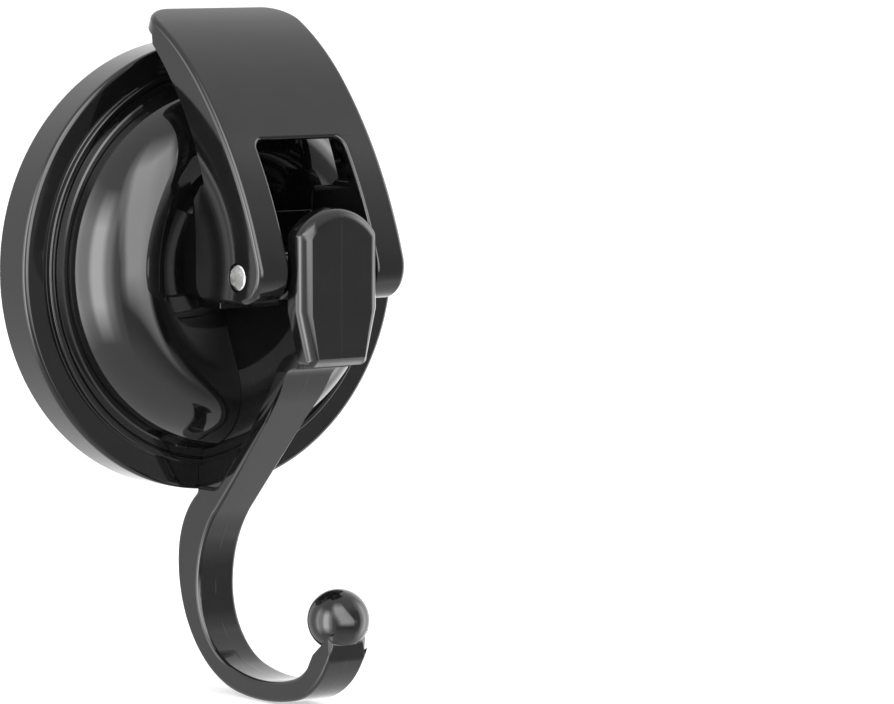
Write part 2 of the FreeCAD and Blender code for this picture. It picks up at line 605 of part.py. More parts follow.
def make_hook():
    """the head, neck, arm, web, J and ball: one moulding that nests on the housing"""
    frame = new_body("hook_frame")
    web_body = new_body("hook_web")
    form = new_body("seat_form")

    # Arm: headings are degrees in the plane of Y and Z, 0 points at the wall and -90 points down.
    neck = ("-(head_back - neck_long)", "-neck_low")
    arm, arm_mid, arm_way = bend(neck, "0", "neck_bend", "-neck_turn")
    slope, slope_mid, slope_way = bend(arm, arm_way, "arm_bend", "(neck_turn - arm_slope)")

    # J: its back first, then its inner side
    heel = ("-(rim_depth + seat_gap)", "-heel_low")
    back, back_mid, back_way = bend(heel, "-heel_turn", "back_bend", "-back_turn")
    bowl, bowl_mid, bowl_way = bend(back, back_way, "bowl_bend", "-bowl_turn")
    toe, toe_mid, toe_way = bend(bowl, bowl_way, "toe_bend", "-toe_turn")
    tip, tip_mid, tip_way = bend(toe, toe_way, "tip_bend", "-tip_turn")
    left = "(90 - arm_slope)"
    run = "((-throat_depth - (%s) - throat_bend * (1 - cos(%s))) / cos(arm_slope))" % (slope[0], left)
    foot = ("%s + %s * cos(arm_slope)" % (slope[0], run), "%s - %s * sin(arm_slope)" % (slope[1], run))
    throat, throat_mid, throat_way = bend(foot, "-arm_slope", "throat_bend", "-" + left)
    inner, inner_mid, inner_way = bend(throat, "-90", "inner_bend", "-inner_turn")
    floor, floor_mid, floor_way = bend(inner, inner_way, "floor_bend", "-floor_turn")
    rise, rise_mid, rise_way = bend(floor, floor_way, "rise_bend", "-rise_turn")

    strip_neck = aside(neck, "0", "strip")
    strip_arm = aside(arm, arm_way, "strip")
    strip_arm_mid = aside(arm_mid, "(-neck_turn / 2)", "strip")
    strip_slope = aside(slope, slope_way, "strip")
    strip_slope_mid = aside(slope_mid, "(-(neck_turn + arm_slope) / 2)", "strip")
    drop = "(%s + web_low)" % strip_slope[1]
    crook = ("%s + %s / tan(arm_slope) - web_corner * tan(arm_slope / 2) * cos(arm_slope)" % (strip_slope[0], drop),
             "-web_low + web_corner * tan(arm_slope / 2) * sin(arm_slope)")
    level, level_mid, level_way = bend(crook, "-arm_slope", "web_corner", "arm_slope")

    web = new_sketch(web_body, "web_side", "YZ_Plane")
    web_slope = aside(slope, slope_way, "(strip / 2)")
    web_end = "(web_low + strip / 2)"
    outline(web, [
        ("-head_back", "-neck_low + strip / 2"),
        aside(neck, "0", "(strip / 2)"),
        aside(arm, arm_way, "(strip / 2)"),
        web_slope,
        ("%s + (%s + %s) / tan(arm_slope)" % (web_slope[0], web_slope[1], web_end), "-" + web_end),
        ("-(rim_depth + strip)", "-" + web_end),
        ("-shell", "-(rim_radius - 2 * shell)"),
        ("-shell", "-(guide_low + seat_gap)"),
        ("-(pin_depth - sole_reach)", "-(guide_low + seat_gap)"),
        ("-(pin_depth - sole_reach)", "-neck_top"),
        ("-head_back", "-neck_top"),
    ])
    extrude(web_body, "web", "Pad", web, "arm_wide - 2 * web_inset", side="Symmetric")
    for name in ("upper", "lower"):
        pilot = new_sketch(web_body, name + "_pilot_outline", "XZ_Plane", name + "_seat")
        circle(pilot, "0", "-%s_screw" % name, "thread_radius + pilot_play")
        extrude(web_body, name + "_pilot", "Pocket", pilot, "screw_long + 0.5", reversed_way=True)

    seat = new_sketch(form, "seat_profile", "XY_Plane")
    outline(seat, [("rim_radius + seat_gap", "0")] + skin("seat_gap") + [("0", "0")])
    turn(form, "seat", "Revolution", seat)

    side = new_sketch(frame, "hook_side", "YZ_Plane")
    outline(side, [
        ("-head_back", "-neck_low"),
        neck,
        arm + arm_mid,
        slope + slope_mid,
        foot,
        throat + throat_mid,
        inner + inner_mid,
        floor + floor_mid,
        rise + rise_mid,
        tip,
        toe + tip_mid,
        bowl + toe_mid,
        back + bowl_mid,
        heel + back_mid,
        ("-(rim_depth + seat_gap)", "-web_low"),
        level,
        crook + level_mid,
        strip_slope,
        strip_arm + strip_slope_mid,
        strip_neck + strip_arm_mid,
        ("-head_back", strip_neck[1]),
    ])
    extrude(frame, "hook_bar", "Pad", side, "flare_wide", side="Symmetric")

    flare = new_sketch(frame, "flare_outline", "XZ_Plane", "ball_depth + ball_radius + 1")
    for sign in ("", "-"):
        outline(flare, [
            (sign + "arm_wide / 2", "-(ball_low + 30)"),
            (sign + "flare_wide", "-(ball_low + 30)"),
            (sign + "flare_wide", "-(flare_low - flare_tall)"),
            (sign + "flare_wide / 2", "-(flare_low - flare_tall)"),
            (sign + "arm_wide / 2", "-flare_low"),
        ])
    extrude(frame, "flare_cut", "Pocket", flare, "ball_depth + ball_radius + 1")

    foot_side = ("(head_foot_wide / 2 + 0.24 * head_corner)", "-head_low + 0.97 * head_corner")
    foot_turn = ("(head_foot_wide / 2 - 0.21 * head_corner)", "-head_low + 0.27 * head_corner")
    head_form = [
        ("-(head_foot_wide / 2 - head_corner)", "-head_low",
         "-" + foot_turn[0], foot_turn[1]),
        ("head_foot_wide / 2 - head_corner", "-head_low"),
        foot_side + foot_turn,
        ("head_wide / 2", "-head_waist"),
        ("head_wide / 2", "head_shoulder"),
        ("-head_wide / 2", "head_shoulder", "0", "head_high"),
        ("-head_wide / 2", "-head_waist"),
        ("-" + foot_side[0], foot_side[1]),
    ]
    head = new_sketch(frame, "head_outline", "XZ_Plane", "head_back")
    outline(head, head_form)
    extrude(frame, "head", "Pad", head, "head_thick - head_bevel")
    front = new_sketch(frame, "head_front_outline", "XZ_Plane", "head_depth - head_bevel")
    outline(front, head_form)
    bevel = extrude(frame, "head_front", "Pad", front, "head_bevel")
    bevel.TaperAngle = -45
    doc.recompute()

    ball = frame.newObject("PartDesign::AdditiveSphere", "ball")
    bind(ball, "Radius", "ball_radius")
    bind(ball, "Placement.Base.y", "-ball_depth")
    bind(ball, "Placement.Base.z", "-ball_low")
    settle(frame, ball)

    seated = doc.addObject("Part::Cut", "hook_web_seated")
    seated.Base, seated.Tool = web_body, form
    hook = doc.addObject("Part::Fuse", "hook")
    hook.Base, hook.Tool = frame, seated
    hook.Refine = True
    hook.Label = "hook"
    doc.recompute()


def make_screw(place):
    name, low, seat = "hook_screw_" + place, place + "_screw", place + "_seat"
    body = new_body(name)
    cap = new_sketch(body, name + "_head_outline", "XZ_Plane", seat)
    circle(cap, "0", "-" + low, "screw_head_radius")
    extrude(body, name + "_head", "Pad", cap, "screw_head_thick", reversed_way=True)
    shank = new_sketch(body, name + "_thread_outline", "XZ_Plane", seat)
    circle(shank, "0", "-" + low, "thread_radius")
    extrude(body, name + "_thread", "Pad", shank, "screw_long")
    recess = new_sketch(body, name + "_recess_outline", "XZ_Plane", seat + " - screw_head_thick")
    cross = [("-recess_wide / 2", "-recess_long / 2"), ("recess_wide / 2", "-recess_long / 2"),
             ("recess_wide / 2", "-recess_wide / 2"), ("recess_long / 2", "-recess_wide / 2"),
             ("recess_long / 2", "recess_wide / 2"), ("recess_wide / 2", "recess_wide / 2"),
             ("recess_wide / 2", "recess_long / 2"), ("-recess_wide / 2", "recess_long / 2"),
             ("-recess_wide / 2", "recess_wide / 2"), ("-recess_long / 2", "recess_wide / 2"),
             ("-recess_long / 2", "-recess_wide / 2"), ("-recess_wide / 2", "-recess_wide / 2")]
    outline(recess, [(x, "%s - %s" % (y, low)) for x, y in cross])
    extrude(body, name + "_recess", "Pocket", recess, "recess_deep", reversed_way=True)


make_cup()
make_stem()
make_pin()
make_housing()
make_hook()
make_lever()
make_screw("upper")
make_screw("lower")
doc.recompute()

HOOK_STEPS = ("hook_frame", "hook_web", "seat_form")
bodies = [thing for thing in doc.Objects
          if thing.TypeId == "PartDesign::Body" and thing.Label not in HOOK_STEPS]
bodies.append(doc.getObject("hook"))
for thing in doc.Objects:
    if "Invalid" in thing.State or "Error" in thing.State:
        raise RuntimeError("%s did not compute" % thing.Name)
for body in bodies:
    if body.Shape.isNull() or not body.Shape.isValid() or len(body.Shape.Solids) != 1:
        raise RuntimeError("%s is not one valid solid" % body.Label)

os.makedirs("parts", exist_ok=True)
for body in bodies:
    body.Shape.exportStep("parts/%s.step" % body.Label)
    box = body.Shape.optimalBoundingBox(False, False)
    print("%-18s %9.1f mm3  x %6.2f %6.2f  y %6.2f %6.2f  z %6.2f %6.2f" % (
        body.Label, body.Shape.Volume, box.XMin, box.XMax, box.YMin, box.YMax, box.ZMin, box.ZMax))
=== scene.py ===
import math
import bmesh
import bpy
import numpy as np
from mathutils import Matrix, Vector


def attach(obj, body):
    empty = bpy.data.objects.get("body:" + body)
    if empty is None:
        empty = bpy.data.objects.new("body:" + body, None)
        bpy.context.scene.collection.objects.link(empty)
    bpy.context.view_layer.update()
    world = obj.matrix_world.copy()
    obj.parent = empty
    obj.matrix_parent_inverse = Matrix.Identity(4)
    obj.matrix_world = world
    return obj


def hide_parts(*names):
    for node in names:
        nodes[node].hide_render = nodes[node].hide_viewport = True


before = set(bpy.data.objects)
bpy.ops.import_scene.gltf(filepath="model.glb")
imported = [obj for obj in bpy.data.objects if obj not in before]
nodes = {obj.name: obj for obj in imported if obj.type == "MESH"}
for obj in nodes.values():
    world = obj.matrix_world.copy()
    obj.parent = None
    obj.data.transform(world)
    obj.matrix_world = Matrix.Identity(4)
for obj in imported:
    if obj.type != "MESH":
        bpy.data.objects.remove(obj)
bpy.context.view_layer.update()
print("frame loaded")

mm = 0.001


def placed(name, data):
    piece = bpy.data.objects.new(name, data)
    bpy.context.scene.collection.objects.link(piece)
    return piece


# Camera: the photograph's own framing
cameraSetup = {
    "right": (0.79122, -0.61153, 0.0),
    "up": (0.05330, 0.06896, 0.99619),
    "looks": (0.60920, 0.78821, -0.08716),
    "place": (-0.57530, -0.82510, 0.07073),  # metres
    "lens": 213.74, "sensor": 36.0,  # mm
    "nearest": 0.01, "farthest": 50.0,  # metres
}
cameraData = bpy.data.cameras.new("camera")
cameraData.lens = cameraSetup["lens"]
cameraData.sensor_width = cameraSetup["sensor"]
cameraData.clip_start = cameraSetup["nearest"]
cameraData.clip_end = cameraSetup["farthest"]
camera = placed("camera", cameraData)
columns = [cameraSetup["right"], cameraSetup["up"], [-v for v in cameraSetup["looks"]], cameraSetup["place"]]
camera.matrix_world = Matrix([[column[i] for column in columns] for i in range(3)] + [[0, 0, 0, 1]])
bpy.context.scene.camera = camera
print("camera placed")


# Materials
def newMaterial(name):
    material = bpy.data.materials.new(name)
    material.use_nodes = True
    tree = material.node_tree
    shader = tree.nodes["Principled BSDF"]
    where = tree.nodes.new("ShaderNodeTexCoord").outputs["Object"]
    return material, tree, shader, where


def noise(tree, where, scale, detail, rough):
    node = tree.nodes.new("ShaderNodeTexNoise")
    node.inputs["Scale"].default_value = scale
    node.inputs["Detail"].default_value = detail
    node.inputs["Roughness"].default_value = rough
    tree.links.new(where, node.inputs["Vector"])
    return node.outputs["Fac"]


# A value that runs from low to high while the given one runs from start to end.
def spread(tree, value, low, high, start=0.0, end=1.0):
    node = tree.nodes.new("ShaderNodeMapRange")
    node.inputs["From Min"].default_value = start
    node.inputs["From Max"].default_value = end
    node.inputs["To Min"].default_value = low
    node.inputs["To Max"].default_value = high
    tree.links.new(value, node.inputs["Value"])
    return node.outputs["Result"]


# A colour that changes at the given stops: (value, colour).
def ramp(tree, value, stops, blend="LINEAR"):
    node = tree.nodes.new("ShaderNodeValToRGB")
    node.color_ramp.interpolation = blend
    for i, (place, colour) in enumerate(stops):
        stop = node.color_ramp.elements[i] if i < 2 else node.color_ramp.elements.new(place)
        stop.position = place
        stop.color = (*colour, 1)
    tree.links.new(value, node.inputs["Fac"])
    return node.outputs["Color"]


def bumps(tree, shader, *heights):
    last = None
    for height, distance in heights:
        node = tree.nodes.new("ShaderNodeBump")
        node.inputs["Strength"].default_value = 1.0
        node.inputs["Distance"].default_value = distance
        tree.links.new(height, node.inputs["Height"])
        if last is not None:
            tree.links.new(last, node.inputs["Normal"])
        last = node.outputs["Normal"]
    tree.links.new(last, shader.inputs["Normal"])


# Colour and roughness that drift with a cloudy noise, which comes back as the result.
def clouded(tree, shader, where, look):
    cloudy = noise(tree, where, *look["cloudy"])
    darkest, lightest = look["tones"]
    colour = ramp(tree, cloudy, [(darkest, look["dark"]), (lightest, look["light"])])
    tree.links.new(colour, shader.inputs["Base Color"])
    tree.links.new(spread(tree, cloudy, *look["rough"], *look["roughOver"]), shader.inputs["Roughness"])
    return cloudy


# In each look, a noise is its scale, detail and roughness; tones and roughOver are the noise
# values between which colour and roughness change; flow, dust and such are heights in metres.
plasticLook = {
    "dark": (0.0052, 0.0052, 0.0058), "light": (0.0082, 0.0082, 0.0090), "tones": (0.3, 0.7),
    "rough": (0.035, 0.085), "roughOver": (0.35, 0.75), "refraction": 1.52,
    "slow": (38.0, 2.0, 0.45), "cloudy": (120.0, 4.0, 0.6), "fine": (2600.0, 3.0, 0.6),
    "flow": 0.00005,  # the slow waves that moulding leaves
    "dust": 0.0000008,  # the finest grain
    "seam": 0.000012,  # the mould's parting line
    "seamCrest": 0.00002, "seamWide": 0.00022,  # metres, where its height starts to fall and ends
}
rubberLook = {
    "dark": (0.011, 0.011, 0.012), "light": (0.018, 0.018, 0.019), "tones": (0.3, 0.7),
    "rough": (0.32, 0.5), "roughOver": (0.3, 0.7), "refraction": 1.48,
    "cloudy": (90.0, 4.0, 0.6), "fine": (1800.0, 3.0, 0.6),
    "flow": 0.00003, "dust": 0.000004,
}
steelLook = {
    "dark": (0.50, 0.50, 0.49), "light": (0.66, 0.66, 0.65), "tones": (0.25, 0.75),
    "rough": (0.16, 0.34), "roughOver": (0.3, 0.7), "cloudy": (260.0, 4.0, 0.65),
    "rings": {"Scale": 900.0, "Distortion": 0.4, "Detail": 2.0},
    "turning": 0.0000015, "wear": 0.0000015,
}


def glossBlack(name, seamed=False, look=plasticLook):
    material, tree, shader, where = newMaterial(name)
    clouded(tree, shader, where, look)
    shader.inputs["IOR"].default_value = look["refraction"]
    slow, fine = noise(tree, where, *look["slow"]), noise(tree, where, *look["fine"])
    heights = [(slow, look["flow"]), (fine, look["dust"])]
    if seamed:  # the two halves of the mould met on the plane x = 0
        parts = tree.nodes.new("ShaderNodeSeparateXYZ")
        tree.links.new(where, parts.inputs[0])
        aside = tree.nodes.new("ShaderNodeMath")
        aside.operation = "ABSOLUTE"
        tree.links.new(parts.outputs[0], aside.inputs[0])
        line = spread(tree, aside.outputs[0], 1, 0, look["seamCrest"], look["seamWide"])
        heights.append((line, look["seam"]))
    bumps(tree, shader, *heights)
    return material


def softRubber(name, look=rubberLook):
    material, tree, shader, where = newMaterial(name)
    cloudy = clouded(tree, shader, where, look)
    shader.inputs["IOR"].default_value = look["refraction"]
    bumps(tree, shader, (cloudy, look["flow"]), (noise(tree, where, *look["fine"]), look["dust"]))
    return material


# Steel turned about an axis through centre (metres), with the tool's fine rings.
def turnedSteel(name, centre, axis, look=steelLook):
    material, tree, shader, where = newMaterial(name)
    mapping = tree.nodes.new("ShaderNodeMapping")
    mapping.inputs["Location"].default_value = [-c for c in centre]
    tree.links.new(where, mapping.inputs["Vector"])
    rings = tree.nodes.new("ShaderNodeTexWave")
    rings.wave_type = "RINGS"
    rings.rings_direction = axis
    for socket, value in look["rings"].items():
        rings.inputs[socket].default_value = value
    tree.links.new(mapping.outputs["Vector"], rings.inputs["Vector"])
    cloudy = clouded(tree, shader, where, look)
    shader.inputs["Metallic"].default_value = 1.0
    bumps(tree, shader, (rings.outputs["Fac"], look["turning"]), (cloudy, look["wear"]))
    return material


blackPlastic = glossBlack("blackPlastic")
seamedPlastic = glossBlack("seamedPlastic", seamed=True)
cupRubber = softRubber("cupRubber")
pinSteel = turnedSteel("pinSteel", (0, -0.0398, 0), "X")
screwSteel = turnedSteel("screwSteel", (0, 0, -0.0238), "Y")
print("materials made")


# Pieces that follow the frame's own solids
mending = {
    "joinWithin": 0.000004,  # metres: points this close become one
    "axisWithin": 0.000001,  # metres: the same, where a turned profile meets its axis
    "flatWithin": 0.4,  # degrees: faces this close to one plane become one
    "leading": 60,  # how strongly the large faces lead the shading
}


# A copy of a solid of the frame: its loose triangles are joined, its flats made whole,
# its edges broken by a small round, and its faces shaded as the smooth surfaces they stand for.
def merged(node, name, material, body, sharp, edge=0.0, steps=3, chosen=None, moved=None):
    mesh = nodes[node].data.copy()
    mesh.name = name
    mesh.materials.clear()
    mesh.materials.append(material)
    work = bmesh.new()
    work.from_mesh(mesh)
    bmesh.ops.remove_doubles(work, verts=work.verts, dist=mending["joinWithin"])
    bmesh.ops.dissolve_degenerate(work, edges=work.edges, dist=mending["joinWithin"])
    if edge:
        bmesh.ops.dissolve_limit(work, angle_limit=math.radians(mending["flatWithin"]), verts=work.verts,
                                 edges=work.edges, use_dissolve_boundaries=False)
    work.to_mesh(mesh)
    work.free()
    if chosen:
        weigh(mesh, chosen, sharp)
    if moved:
        places = np.zeros(len(mesh.vertices) * 3)
        mesh.vertices.foreach_get("co", places)
        mesh.vertices.foreach_set("co", (moved(places.reshape(-1, 3) / mm) * mm).ravel())
    piece = finished(name, mesh, body, sharp, edge, steps, bool(chosen))
    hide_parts(node)


# Gives each sharp edge the share of the rounding that chosen sets for its two ends, in mm.
def weigh(mesh, chosen, sharp):
    work = bmesh.new()
    work.from_mesh(mesh)
    work.edges.ensure_lookup_table()
    angles = np.array([e.calc_face_angle(0.0) for e in work.edges])
    work.free()
    points = np.zeros(len(mesh.vertices) * 3)
    mesh.vertices.foreach_get("co", points)
    ends = np.zeros(len(mesh.edges) * 2, int)
    mesh.edges.foreach_get("vertices", ends)
    places = points.reshape(-1, 3)[ends.reshape(-1, 2)] / mm
    share = np.where(angles > math.radians(sharp), chosen(places), 0.0)
    layer = mesh.attributes.new("bevel_weight_edge", "FLOAT", "EDGE")
    layer.data.foreach_set("value", share.astype(np.float32))


# Edges broken by a small round, faces shaded smooth up to the angle sharp, large faces leading.
def finished(name, mesh, body, sharp, edge=0.0, steps=3, weighed=False):
    piece = placed(name, mesh)
    if edge:
        rounding = piece.modifiers.new("rounding", "BEVEL")
        rounding.width = edge
        rounding.segments = steps
        rounding.limit_method = "WEIGHT" if weighed else "ANGLE"
        rounding.angle_limit = math.radians(sharp)
        rounding.use_clamp_overlap = not weighed
    smooth(mesh)
    applied(piece)
    piece.data.set_sharp_from_angle(angle=math.radians(sharp))
    weights = piece.modifiers.new("weights", "WEIGHTED_NORMAL")
    weights.keep_sharp = True
    weights.weight = mending["leading"]
    applied(piece)
    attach(piece, body)
    return piece


def smooth(mesh):
    mesh.polygons.foreach_set("use_smooth", np.ones(len(mesh.polygons), bool))


# Modifiers become part of the mesh.
def applied(piece):
    bpy.context.view_layer.update()
    graph = bpy.context.evaluated_depsgraph_get()
    evaluated = piece.evaluated_get(graph)
    mesh = bpy.data.meshes.new_from_object(evaluated, preserve_all_data_layers=True, depsgraph=graph)
    piece.modifiers.clear()
    piece.data = mesh


hookSizes = {  # mm, depth counted outwards from the wall
    "arm": 0.8, "head": 0.9, "headFoot": 0.6, "web": 0.35,  # how far each kind of edge is rounded
    "near": 0.03,  # an edge this close to a side lies on it
    "armSide": 4.3, "armTop": -18, "webSide": 3.7, "webTop": -6, "webRoot": 23,
    "headDepth": 45.2, "headLow": -16.6, "headFootTop": -13.5,
    "ball": (48.1, -63.2), "ballRadius": 5.75, "ballSunk": 0.15,  # (depth, height), and the tip's overlap
    "fade": 3.0,  # over this way the arm's rounding runs out towards the ball
    "tipDepth": 40, "tipLow": -72, "tipTop": -56,
    "neckIn": (-66.7, 6.0), "neckOut": (-67.8, 1.3),  # where the J's two sides close in on the ball, how fast
}


# The hook's edges are told apart by the side, depth and height of both their ends.
def hookShare(ends, s=hookSizes):
    side, depth, height = np.abs(ends[:, :, 0]), -ends[:, :, 1], ends[:, :, 2]
    onArm = (np.abs(side - s["armSide"]) < s["near"]) & (height < s["armTop"])
    onWeb = (np.abs(side - s["webSide"]) < s["near"]) & (height < s["webTop"]) & (depth > s["webRoot"])
    onHead = (depth > s["headDepth"]) & (height > s["headLow"])
    away = np.hypot(depth - s["ball"][0], height - s["ball"][1]).min(1)
    arm = s["arm"] * np.clip((away - s["ballRadius"]) / s["fade"], 0, 1)
    low = height < s["headFootTop"]
    head = np.where(low.all(1), 0.0, np.where(low.any(1), s["headFoot"], s["head"]))
    return np.where(onHead.all(1), head, np.where(onArm.all(1), arm, np.where(onWeb.all(1), s["web"], 0.0)))


# Points of the J's tip come no further from the ball's centre than its radius,
# plus the second figure of neckIn or neckOut for each mm that they lie under the first.
def closeOnBall(places, s=hookSizes):
    centre = np.array([0, -s["ball"][0], s["ball"][1]])
    way = places - centre
    far = np.linalg.norm(way, axis=1)
    depth, height = -places[:, 1], places[:, 2]
    outside = depth > s["ball"][0]
    low, spreading = (np.where(outside, s["neckOut"][i], s["neckIn"][i]) for i in (0, 1))
    most = s["ballRadius"] - s["ballSunk"] + spreading * np.maximum(low - height, 0)
    onTip = (depth > s["tipDepth"]) & (height > s["tipLow"]) & (height < s["tipTop"])
    closed = onTip & (far > s["ballRadius"] + s["near"])
    scale = np.where(closed, np.minimum(1, most / np.maximum(far, s["near"])), 1)
    return centre + way * scale[:, None]


merged("lever", "leverShell", blackPlastic, "lever", sharp=30.0)
merged("hook", "wallHook", seamedPlastic, "base", sharp=20.0, edge=mm, steps=4,
       chosen=hookShare, moved=closeOnBall)
merged("pivot_pin", "pivotPin", pinSteel, "base", sharp=30.0)
merged("cup_stem", "cupStem", blackPlastic, "base", sharp=35.0)
for place in ("upper", "lower"):
    merged("hook_screw_" + place, place + "Screw", screwSteel, "base", sharp=35.0)
print("lever, hook, pin, stem and screws finished")


# Points centre + radius * (sin a, cos a), a running from start to end degrees.
def arc(centre, radius, start, end, step=1.6):
    a = np.radians(np.linspace(start, end, max(3, int(abs(end - start) / step))))
    return np.stack([centre[0] + radius * np.sin(a), centre[1] + radius * np.cos(a)], 1)


# Straight runs between the points, divided into equal steps no shorter than step.
def alongLines(points, step):
    out = [points[0]]
    for a, b in zip(points[:-1], points[1:]):
        n = max(1, int(np.linalg.norm(b - a) / step))
        out.extend(a + (b - a) * (i + 1) / n for i in range(n))
    return np.array(out)


# A closed profile (radius, depth) carried round the Y axis, faces outwards:
# point (i, j) = (r_i cos a_j, -d_i, r_i sin a_j), with a_j = 2 pi j / around.
def turned(name, profile, around, material):
    a = np.linspace(0, 2 * math.pi, around, endpoint=False)
    r, d = profile[:, 0, None] * mm, profile[:, 1, None] * mm
    points = np.stack([r * np.cos(a), -d * np.ones_like(a), r * np.sin(a)], 2).reshape(-1, 3)
    n = len(profile)
    i, j = np.meshgrid(np.arange(n), np.arange(around), indexing="ij")
    near, far = (i + 1) % n, (j + 1) % around
    faces = np.stack([i * around + j, near * around + j, near * around + far, i * around + far], 2)
    mesh = bpy.data.meshes.new(name)
    mesh.from_pydata(points, [], faces.reshape(-1, 4))
    mesh.materials.append(material)
    work = bmesh.new()
    work.from_mesh(mesh)
    bmesh.ops.remove_doubles(work, verts=work.verts, dist=mending["axisWithin"])
    bmesh.ops.recalc_face_normals(work, faces=work.faces)
    work.to_mesh(mesh)
    work.free()
    return mesh


# The round housing
housingSizes = {  # mm and degrees
    "rimRadius": 42.5, "rimDepth": 8.9, "rimFoot": 0.4, "rimRound": 0.9, "rimBreak": 0.25,
    "ringRadius": 37.7, "ringDepth": 10.15, "ringRound": 0.3, "ringBreak": 0.12,
    "lineRadius": 36.5, "lineWide": 0.55, "lineDeep": 0.4, "lineFloor": 0.06,
    "domeRadius": 34.8, "domeFoot": 0.25, "domeSunk": 0.06, "domeRise": 0.28, "domeTurn": 80.0,
    "shoulderBend": 14.9,
    "crestRadius": 23.8, "crestDepth": 22.8, "crestBend": 9.0, "crestTurn": 45.0,
    "dishBend": 12.0, "dishTurn": 24.0, "dishRadius": 8.0,
    "wall": 2.4, "wallFoot": 0.3, "sharp": 24.0,
    "around": 288, "sideStep": 1.5, "dishStep": 1.2, "rimArcStep": 9, "ringArcStep": 15,  # the mesh's steps
}


# Foot, shoulder, crest and dish as (radius, depth): each arc starts where the last one ends,
# with the same tangent. inset moves the whole line inwards, square to itself.
def domeProfile(s, inset=0.0):
    crest = np.array([s["crestRadius"], s["crestDepth"] - s["crestBend"]])
    turn = math.radians(s["crestTurn"])
    way = np.array([math.sin(turn), math.cos(turn)])
    shoulder = crest + (s["crestBend"] - s["shoulderBend"]) * way
    dish = np.array([s["crestRadius"], s["crestDepth"] - s["dishBend"]])
    return np.concatenate([
        arc(shoulder, s["shoulderBend"] - inset, s["domeTurn"], s["crestTurn"]),
        arc(crest, s["crestBend"] - inset, s["crestTurn"], 0)[1:],
        arc(dish, s["dishBend"] - inset, 0, -s["dishTurn"])[1:],
    ])


# From the rim's foot over rim, ring, fine line, dome and dish to the middle, and back inside.
def housingProfile(s):
    rim = np.array([s["rimRadius"] - s["rimRound"], s["rimDepth"] - s["rimRound"]])
    ring = np.array([s["ringRadius"] - s["ringRound"], s["ringDepth"] - s["ringRound"]])
    half, floor, top = s["lineWide"] / 2, s["lineFloor"], s["ringDepth"]
    outer, inner = domeProfile(s), domeProfile(s, s["wall"])
    middle = outer[-1][1] - (outer[-1][0] - s["dishRadius"]) * math.tan(math.radians(s["dishTurn"]))
    innerRim, innerFoot = s["rimRadius"] - s["wall"], s["rimDepth"] - s["wall"]
    side = np.array([[s["rimRadius"], s["rimFoot"] + s["rimBreak"]], [s["rimRadius"], rim[1]]])
    return np.concatenate([
        alongLines(side, s["sideStep"]),
        arc(rim, s["rimRound"], 90, 0, s["rimArcStep"])[1:],
        [[s["ringRadius"] + s["ringBreak"], s["rimDepth"]], [s["ringRadius"], s["rimDepth"] + s["ringBreak"]]],
        arc(ring, s["ringRound"], 90, 0, s["ringArcStep"]),
        [[s["lineRadius"] + half, top], [s["lineRadius"] + floor, top - s["lineDeep"]],
         [s["lineRadius"] - floor, top - s["lineDeep"]], [s["lineRadius"] - half, top]],
        [[s["domeRadius"] + s["domeFoot"], top], [s["domeRadius"] - s["domeSunk"], top + s["domeRise"]]],
        outer,
        alongLines(np.array([outer[-1], [s["dishRadius"], middle]]), s["dishStep"])[1:],
        [[s["dishRadius"], middle - s["wall"]]],
        inner[::-1],
        [[inner[0][0] - s["wallFoot"], innerFoot], [innerRim, innerFoot],
         [innerRim, s["rimFoot"]], [s["rimRadius"] - s["rimBreak"], s["rimFoot"]]],
    ])


shellMesh = turned("roundHousing", housingProfile(housingSizes), housingSizes["around"], blackPlastic)
housing = finished("roundHousing", shellMesh, "base", housingSizes["sharp"])
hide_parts("housing")


guideSizes = {  # mm, across and up
    "block": (10.3, -6.9), "pads": (14.5, -4.2), "top": 10.8, "slot": (8.05, 4.75),
    "root": 16.0, "front": 25.6, "edge": 0.2, "sharp": 30.0,
}


# A flat outline with a window, carried straight out from the dish: (x, z) at root and at front.
def guideBlock(s):
    (wide, low), (padWide, padLow), (slotWide, slotHigh) = s["block"], s["pads"], s["slot"]
    outline = [(-wide, low), (wide, low), (wide, padLow), (padWide, padLow), (padWide, s["top"]),
               (-padWide, s["top"]), (-padWide, padLow), (-wide, padLow)]
    window = [(-slotWide, -slotHigh), (slotWide, -slotHigh), (slotWide, slotHigh), (-slotWide, slotHigh)]
    work = bmesh.new()
    for loop in (outline, window):
        corners = [work.verts.new((x * mm, -s["root"] * mm, z * mm)) for x, z in loop]
        for a, b in zip(corners, corners[1:] + corners[:1]):
            work.edges.new((a, b))
    bmesh.ops.triangle_fill(work, use_beauty=True, use_dissolve=False, edges=work.edges[:], normal=(0, -1, 0))
    pushed = bmesh.ops.extrude_face_region(work, geom=work.faces[:], use_keep_orig=True)
    front = [v for v in pushed["geom"] if isinstance(v, bmesh.types.BMVert)]
    bmesh.ops.translate(work, verts=front, vec=(0, -(s["front"] - s["root"]) * mm, 0))
    bmesh.ops.recalc_face_normals(work, faces=work.faces)
    mesh = bpy.data.meshes.new("guideBlock")
    work.to_mesh(mesh)
    work.free()
    mesh.materials.append(blackPlastic)
    return mesh


guide = finished("guideBlock", guideBlock(guideSizes), "base", guideSizes["sharp"],
                 guideSizes["edge"] * mm)
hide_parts("housing")
print("housing turned")


# The suction cup, pressed flat on the wall
cupSizes = {  # mm and degrees
    "lipRadius": 39.2, "lipWide": 5.6, "lipThick": 1.5, "lipEdge": 0.45, "lipTurn": 66, "lipShoulder": 0.5,
    "lift": 4.8, "bossRadius": 13.0, "bossFoot": 7.1, "bossBreak": 0.6, "bossDepth": 12.4, "bossEdge": 0.7,
    "sharp": 40.0,
    "steps": 40, "around": 240, "edgeArcStep": 15, "lipArcStep": 9, "bossArcStep": 12,  # the mesh's steps
}


